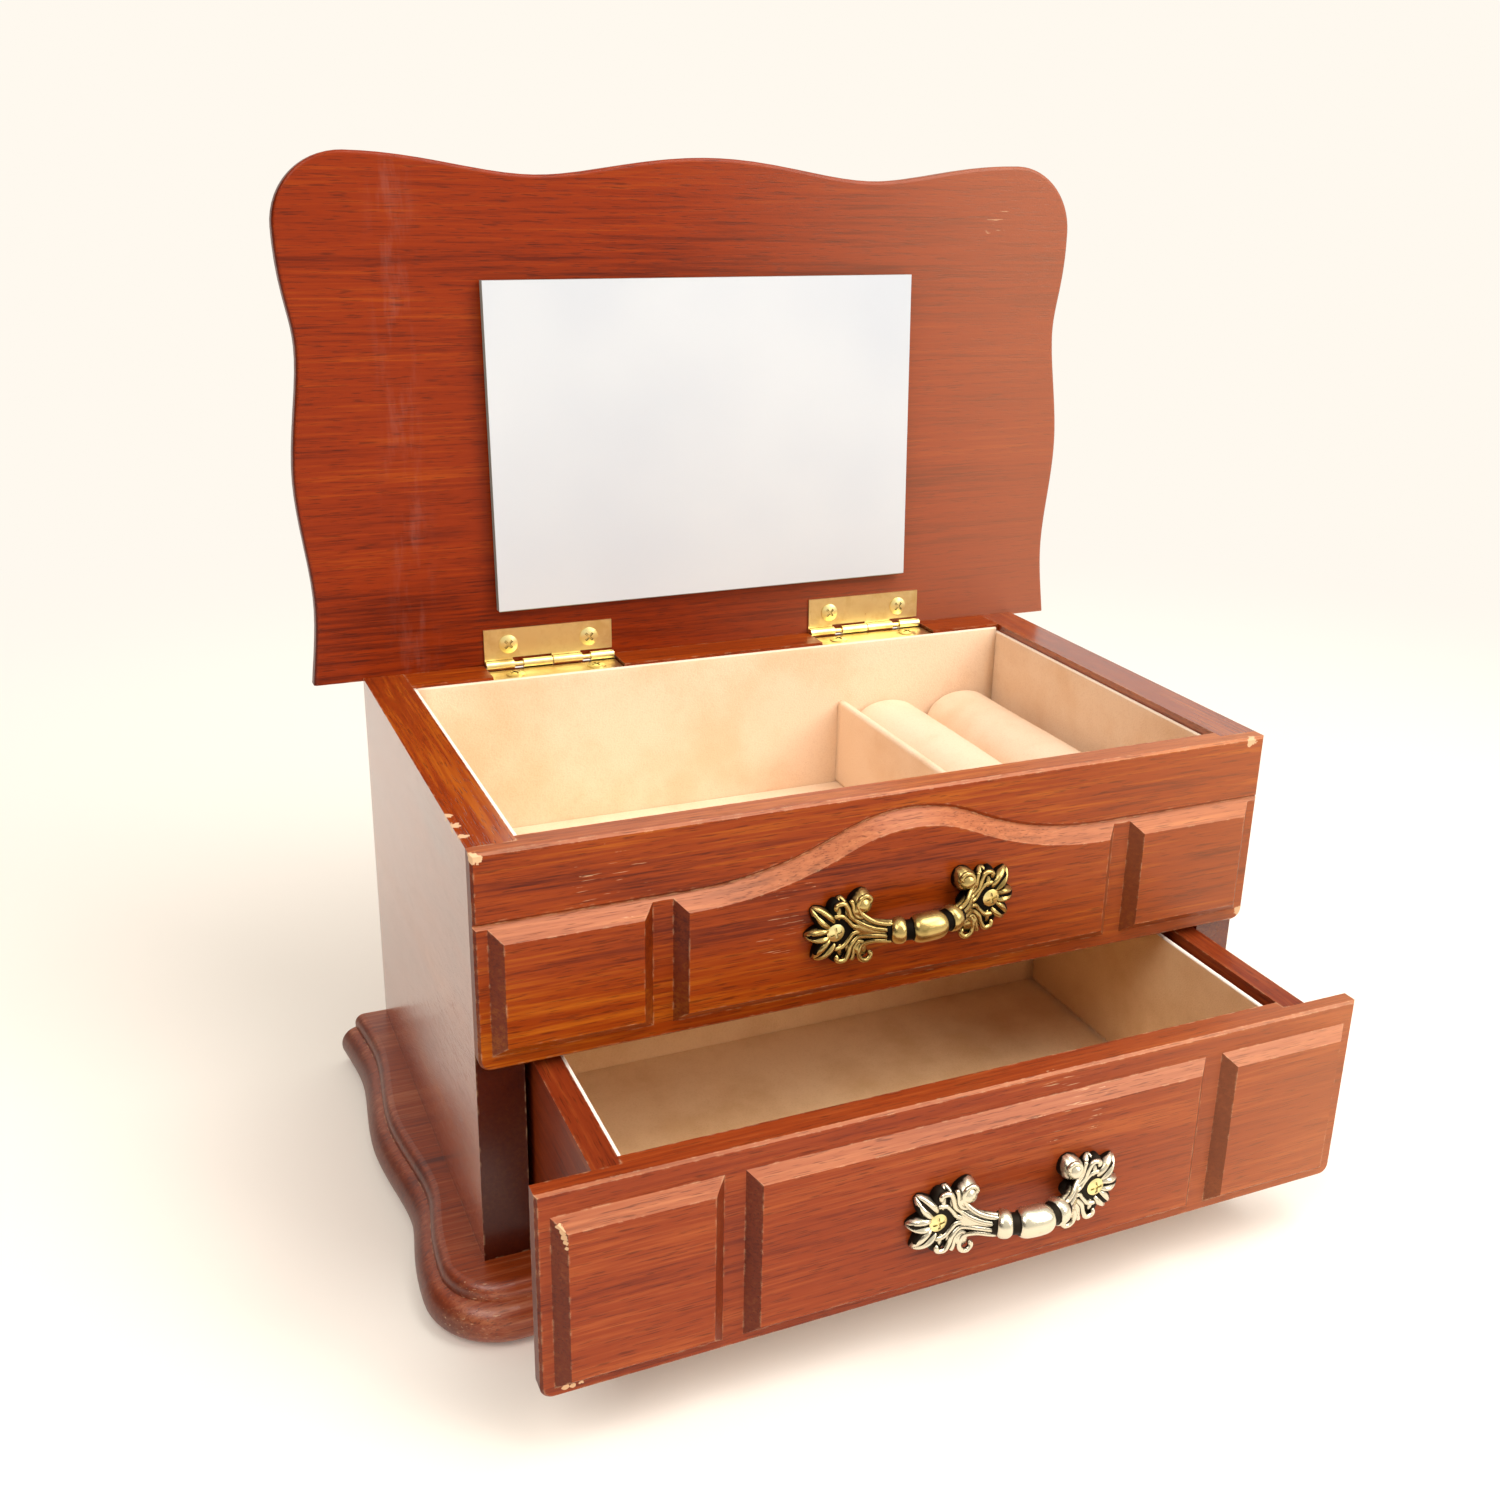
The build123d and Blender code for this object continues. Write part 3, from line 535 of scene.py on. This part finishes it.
# Pulls, in millimetres from the middle of the plate plane: x to the right, y up, z out of the face
pullShape = {
    "bowFoot": 15.0, "footRise": 1.5, "bowRise": 8.9,
    "barrelHalf": 4.7, "barrelRadius": 3.4, "beadCentre": 7.15, "beadHalf": 2.3, "beadRadius": 3.2,
    "neckRadius": 2.4, "stemHalfWidth": 2.75, "stemHalfThickness": 1.35, "ridgeRadius": 0.62,
    "screwOut": 20.6, "plateThickness": 2.7, "collarRadius": 3.25,
}
bowRadius = (pullShape["bowFoot"] ** 2 + (pullShape["bowRise"] - pullShape["footRise"]) ** 2) / (
    2 * (pullShape["bowRise"] - pullShape["footRise"]))


def bowHeight(x):
    return pullShape["bowRise"] - bowRadius + np.sqrt(np.maximum(bowRadius**2 - x**2, 0))


# How far each ring's points stand towards the front of their own ring, from floor to 1; a ring
# narrower than the bow's neck lies in a groove and keeps its patina
def rubbedShare(rings, floor):
    halfWidth = np.ptp(rings[..., 1], axis=1) / 2
    proud = np.clip((halfWidth - pullShape["neckRadius"]) / 0.5, 0, 1)[:, None] if floor > 0.5 else 1.0
    z = rings[..., 2]
    low, high = z.min(1, keepdims=True), z.max(1, keepdims=True)
    share = proud * (floor + (1 - floor) * (z - low) / np.maximum(high - low, 1e-6))
    return np.concatenate([share.reshape(-1), share[:1].mean(1), share[-1:].mean(1)])


# Barrel between two beads on the bow: a circle along the arc whose radius follows their outlines
def bowSwellings():
    s = np.linspace(-9.6, 9.6, 120)
    path = np.stack([bowRadius * np.sin(s / bowRadius), 0 * s, 0 * s], -1)
    path[:, 2] = bowHeight(path[:, 0])

    def bulge(centre, half, radius, power):
        return radius * np.clip(1 - np.abs((s - centre) / half) ** power, 0, 1) ** 0.5

    radii = np.maximum.reduce([
        np.full(len(s), pullShape["neckRadius"]),
        bulge(0, pullShape["barrelHalf"], pullShape["barrelRadius"], 5.0),
        bulge(pullShape["beadCentre"], pullShape["beadHalf"], pullShape["beadRadius"], 2.6),
        bulge(-pullShape["beadCentre"], pullShape["beadHalf"], pullShape["beadRadius"], 2.6)])
    return bar(path, radii, sides=40)


# The plate under one end: a lobed disc with a rounded rim, its outline pushed out at each lobe
def endPlate():
    turn = np.linspace(0, 2 * np.pi, 96, endpoint=False)
    lobes = [(180, 7.9, 20), (140, 8.3, 19), (220, 8.3, 19), (98, 8.2, 22), (262, 8.2, 22), (52, 9.9, 19),
             (308, 9.9, 19), (0, 7.2, 26)]
    outline = np.full(len(turn), 6.0)
    for direction, reach, spread in lobes:
        away = np.abs((np.degrees(turn) - direction + 180) % 360 - 180)
        outline = np.maximum(outline, 4.6 + (reach - 4.6) * np.exp(-((away / spread) ** 2)))
    share = np.array([0.02, 0.3, 0.6, 0.85, 0.94, 0.985, 1.0, 1.0, 0.97, 0.5, 0.02])
    height = np.array([1, 1, 1, 0.97, 0.86, 0.66, 0.42, 0.1, 0, 0, 0]) * pullShape["plateThickness"]
    x = -19.3 + share[:, None] * outline * np.cos(turn)
    y = share[:, None] * outline * np.sin(turn)
    return np.stack([x, y, np.broadcast_to(height[:, None], x.shape)], -1)


# Everything on the left end: stem, ridges that part into scrolls, ears, leaf tips and screw collar
def leftEnd():
    shapes = [(endPlate(), 0.0)]
    stemX = np.linspace(-8.2, -16.2, 22)
    stemPath = np.stack([stemX, 0 * stemX, np.maximum(bowHeight(stemX), 0.9)], -1)
    widen = 1 + 0.25 * np.clip((-stemX - 12) / 4, 0, 1)
    stem = bar(stemPath, pullShape["stemHalfWidth"] * widen,
               pullShape["stemHalfThickness"] / pullShape["stemHalfWidth"], 24)
    shapes.append((stem, 0.1))

    def onStem(x):
        return float(bowHeight(x)) + 1.15

    near, middle, far = onStem(-8.4), onStem(-10.4), onStem(-12.4)
    routes = [
        [(-8.4, 2.1, near), (-10.4, 2.15, middle), (-12.4, 2.5, far), (-14.3, 3.9, 3.7), (-15.2, 5.8, 3.5),
         (-14.7, 7.6, 3.5), (-13.1, 8.2, 3.5), (-12.0, 7.1, 3.4), (-12.7, 6.0, 3.3)],
        [(-8.4, 0.75, near + 0.3), (-10.4, 0.8, middle + 0.3), (-12.6, 1.0, far + 0.2), (-15.0, 1.9, 3.2),
         (-16.9, 3.6, 3.1), (-17.6, 5.6, 3.1), (-18.6, 7.2, 3.1), (-20.4, 7.0, 3.0), (-20.6, 5.5, 2.9)],
        [(-13.4, 3.4, 4.0), (-14.9, 3.1, 3.2), (-16.1, 4.4, 3.0), (-16.4, 6.4, 3.0), (-16.9, 7.8, 2.9)],
        [(-14.6, 0.5, 3.3), (-16.2, 1.0, 2.8), (-17.3, 2.4, 2.6), (-18.9, 3.9, 2.6), (-21.2, 4.2, 2.6)],
    ]
    for route in routes:
        for side in (-1, 1):
            path = curveThrough([(x, side * y, z) for x, y, z in route], 6)
            shapes.append((bar(path, roundEnds(len(path), pullShape["ridgeRadius"], 0.08), 1.0, 10), 0.15))
    for side in (-1, 1):
        shapes.append((leaf((-16.0, side * 3.0), (-12.7, side * 8.5), 2.3, 4.2, 0.1), 0.0))
        shapes.append((leaf((-18.6, side * 2.6), (-18.7, side * 8.1), 2.3, 3.6, 0.6), 0.0))
        shapes.append((leaf((-21.2, side * 1.9), (-25.7, side * 6.6), 2.2, 3.9, 0.6), 0.0))
    shapes.append((leaf((-22.0, 0), (-27.6, -0.2), 2.2, 4.0, 0.6), 0.0))
    # upper ear: a tall block curling back over the stem beside the bow
    shapes.append((leaf((-14.6, 4.2), (-12.4, 8.8), 2.9, 4.6, 0.0), 0.1))
    turn = np.radians(np.linspace(35, 325, 40))
    collar = np.stack([-pullShape["screwOut"] + pullShape["collarRadius"] * np.cos(turn),
                       pullShape["collarRadius"] * np.sin(turn), np.full(len(turn), 2.1)], -1)
    shapes.append((bar(collar, roundEnds(40, 0.5), 1.0, 10), 0.1))
    return shapes


def pullSkins(node, turnDegrees):
    low, high = (np.array(corner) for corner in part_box(node))
    centre = np.array([(low[0] + high[0]) / 2, high[1], (low[2] + high[2]) / 2])
    angle = math.radians(turnDegrees)
    toRight = np.array([math.cos(angle), 0, math.sin(angle)])
    upward = np.array([-math.sin(angle), 0, math.cos(angle)])
    outward = np.array([0.0, -1.0, 0.0])
    swellings = bowSwellings()
    skins, values = [], []
    for rings, floor, mirrored in [(swellings, 0.55, 1)] + [
            (rings, floor, mirrored) for rings, floor in leftEnd() for mirrored in (1, -1)]:
        placed = centre + mm * (mirrored * rings[..., :1] * toRight + rings[..., 1:2] * upward
                                + rings[..., 2:] * outward)
        skins.append(skin(placed))
        values.append(rubbedShare(rings, floor))
    return skins, np.concatenate(values)


antiqueBrass = antiqueCasting("antiqueBrass")
wornPewter = antiqueCasting("wornPewter", bright="#E0D8C0", second="#B8A470", patina="#2A241D",
                            secondShare=0.62)
pulls = {"upper_pull": ("carcass", antiqueBrass, "antique_brass", 2.4),
         "lower_pull": ("drawer", wornPewter, "worn_pewter", -2.6)}
for node, (body, metal, slotName, turnDegrees) in pulls.items():
    skins, values = pullSkins(node, turnDegrees)
    makePiece(f"{node}_cast", skins, metal, body, [node], ("rubbed", values))
print("scene: pulls done")

# Finishes of the boards: one wood, cut and coated for each. Chips and scrapes are places on the
# object with a radius, in mm; a painted sheen runs from one x to another with its share and colour
drawerWood = {"dark": "#521A0A", "middle": "#7C2E12", "light": "#98471E"}
ply = {"dark": "#9C7247", "middle": "#B98B5B", "light": "#CFA777", "pore": "#7A5533", "coat": 0.0,
       "roughness": 0.6}
boards = {
    "upper_front": dict(
        shift=0.31, bevelRubAndSheen=0.45, topRubAndSheen=0.3, edgeWearAndHighlight=0.65, paintedSheen=(0, 130, 0.3, "#C8855A"),
        chips=[(-102.8, -61.8, 117.8, 1.7), (-101.2, -61.6, 117.0, 1.0),
               (99.0, -61.8, 117.3, 1.5), (101.6, -61.8, 69.0, 1.4)],
        scrapes=[(-33, -64.8, 88, 7), (-30, -63, 97, 6), (-72, -62, 106, 9)]),
    "drawer_front": dict(
        shift=0.77, bevelRubAndSheen=0.38, dark="#66200C", middle="#8A3612", light="#A55022", edgeWearAndHighlight=0.6,
        paintedSheen=(0, 130, 0.35, "#C88A5E"),
        chips=[(-98.7, -107.3, 57.4, 1.0), (-98.3, -107.6, 56.2, 0.9), (-98.0, -107.8, 55.0, 0.8),
               (-97.8, -108.0, 53.8, 0.6), (-97.6, -108.1, 52.6, 0.5), (-97.8, -105.8, 16.6, 0.9),
               (-96.2, -105.8, 16.5, 0.8), (-94.4, -105.8, 16.6, 0.6)],
        scrapes=[(20, -108, 57, 10)]),
    "lid_board": dict(
        shift=0.12, dark="#5E1902", middle="#862A02", light="#9C4006", figureWidth=30.0,
        specular=0.15, coat=0.08, haze=(-88, 9, "#B98F86"), paintedSheen=(-30, 120, 0.5, "#AE7458"),
        scrapes=[(92, 66, 238, 5)]),
    "base_plinth": dict(
        shift=0.55, edgeWearAndHighlight=0.5, specular=0.5, coat=0.4, roughness=0.42, light="#B0623A",
        chips=[(-104, -62, 10.5, 1.6), (-109, -50, 10.6, 1.2)], scrapes=[(-106, -64, 6, 9)]),
    "left_side": dict(
        shift=0.91, grain="Y", endDepth=0.9, specular=0.4, coat=0.8, roughness=0.24, edgeWearAndHighlight=0.6,
        chips=[(-102.8, -40, 118, 1.2), (-102.6, -46, 118, 1.6), (-102.0, -52, 118.0, 1.3)]),
    "right_side": dict(shift=0.43, grain="Y", specular=0.5, coat=0.8, roughness=0.26),
    "back_panel": dict(shift=0.66),
    "drawer_side_left": dict(shift=0.23, grain="Y", **drawerWood),
    "drawer_side_right": dict(shift=0.37, grain="Y", **drawerWood),
    "drawer_back": dict(shift=0.59, **drawerWood),
    "tray_floor": dict(shift=0.84, **ply),
    "drawer_bottom": dict(shift=0.05, **ply),
}
for node, changes in boards.items():
    nodes[node].material_slots[0].material = lacqueredWood(f"lacquered_{node}", **changes)

hingeBrass = platedBrass("hingeBrass")
screwBrass = platedBrass("screwBrass", bright="#F8EAA8", dull="#E8CF82", roughness=0.36, crevice=0.95)
for node in nodes:
    if node.startswith("hinge_") and not node.endswith("screws"):
        nodes[node].material_slots[0].material = hingeBrass
    if node.endswith("screws"):
        nodes[node].material_slots[0].material = screwBrass
nodes["mirror"].material_slots[0].material = paintedReflectionMirror("paintedReflectionMirror")
nodes["mirror_tape"].material_slots[0].material = foamPad("foamPad")
print("scene: finishes done")

# Camera
view = {"place": (-0.16645, -0.35554, 0.25416), "turn": (70.279, -1.364, -23.826), "lens": 37.626,
        "shift": (-0.01965, -0.01827)}
cameraData = bpy.data.cameras.new("camera")
cameraData.sensor_width = 36.0
cameraData.lens = view["lens"]
cameraData.shift_x, cameraData.shift_y = view["shift"]
cameraData.clip_start = 0.01
camera = bpy.data.objects.new("camera", cameraData)
camera.location = view["place"]
camera.rotation_euler = [math.radians(angle) for angle in view["turn"]]
bpy.context.scene.collection.objects.link(camera)
bpy.context.scene.camera = camera
bpy.context.scene.view_settings.view_transform = "Standard"

# Floor: a wide cream paper sheet
floorLook = {"half": 9.0, "cream": "#FFF9EF", "paper": "#F1EADF", "fibre": "#E2D9CA",
             "near": 0.16, "far": 0.75, "glow": 0.12}
paper, paperTree, paperShader, paperPlace = newMaterial("creamPaper")
paperFibre = grainNoise(paperTree, paperPlace, (700, 700, 700), 3)
paperTree.links.new(blendColour(paperTree, combine(paperTree, "MULTIPLY", paperFibre, 0.04),
                                linear(floorLook["paper"]), linear(floorLook["fibre"])),
                    paperShader.inputs["Base Color"])
paperShader.inputs["Roughness"].default_value = 0.9
paperShader.inputs["Specular IOR Level"].default_value = 0.1
paperShader.inputs["Emission Color"].default_value = linear(floorLook["cream"])
paperShader.inputs["Emission Strength"].default_value = floorLook["glow"]
# away from the box the sheet passes into an evenly lit sweep the colour of the room
outward = put(paperTree, "ShaderNodeVectorMath", {0: paperPlace}, operation="LENGTH")[1]
sweep = put(paperTree, "ShaderNodeEmission", {"Color": linear(floorLook["cream"]), "Strength": 1.0})[0]
share = step(paperTree, outward, floorLook["near"], floorLook["far"])
joined = put(paperTree, "ShaderNodeMixShader", {0: share, 1: paperShader.outputs[0], 2: sweep})[0]
paperTree.links.new(joined, paperTree.nodes["Material Output"].inputs["Surface"])
half = floorLook["half"]
floorMesh = bpy.data.meshes.new("floor")
floorCorners = [(-half, -half, 0), (half, -half, 0), (half, half, 0), (-half, half, 0)]
floorMesh.from_pydata(floorCorners, [], [(0, 1, 2, 3)])
floorMesh.materials.append(paper)
floor = bpy.data.objects.new("floor", floorMesh)
bpy.context.scene.collection.objects.link(floor)

# Soft studio light: a large key from the front right, a weaker fill from the left, a pale room
lamps = {
    "key": {"place": (1.3, -1.3, 1.1), "size": 1.0, "power": 23.0, "colour": "#FFF8F0"},
    "fill": {"place": (-0.8, -0.6, 1.3), "size": 0.8, "power": 9.0, "colour": "#FFF8F4"},
    "top": {"place": (0.5, -0.5, 1.5), "size": 0.9, "power": 14.0, "colour": "#FFFFFF"},
}
aim = np.array([0.0, -0.03, 0.1])
for name, lamp in lamps.items():
    lampData = bpy.data.lights.new(name, "AREA")
    lampData.size = lamp["size"]
    lampData.energy = lamp["power"]
    lampData.color = linear(lamp["colour"])[:3]
    lampObject = bpy.data.objects.new(name, lampData)
    lampObject.location = lamp["place"]
    toAim = aim - np.array(lamp["place"])
    flat = math.hypot(toAim[0], toAim[1])
    heading = math.atan2(toAim[1], toAim[0]) - math.pi / 2
    lampObject.rotation_euler = (math.atan2(flat, -toAim[2]), 0, heading)
    bpy.context.scene.collection.objects.link(lampObject)

# Room: cream all round, with less light from the left than from the back, the front and above
room = {"bright": "#FFF9EF", "dim": "#4A3F3C", "strength": 0.75}
world = bpy.data.worlds.new("room")
bpy.context.scene.world = world
world.use_nodes = True
roomTree = world.node_tree
direction = put(roomTree, "ShaderNodeTexCoord")["Generated"]
leftward = put(roomTree, "ShaderNodeSeparateXYZ", {0: direction})[0]
shade = step(roomTree, leftward, -0.25, -0.8)
background = roomTree.nodes["Background"]
roomColour = blendColour(roomTree, shade, linear(room["bright"]), linear(room["dim"]))
seen = put(roomTree, "ShaderNodeLightPath")["Is Camera Ray"]
seenColour = blendColour(roomTree, seen, roomColour, linear(room["bright"]))
roomTree.links.new(seenColour, background.inputs["Color"])
brightness = put(roomTree, "ShaderNodeMapRange", {"Value": seen, "To Min": room["strength"],
                                                  "To Max": 1.0})[0]
roomTree.links.new(brightness, background.inputs["Strength"])

print("scene: finished")
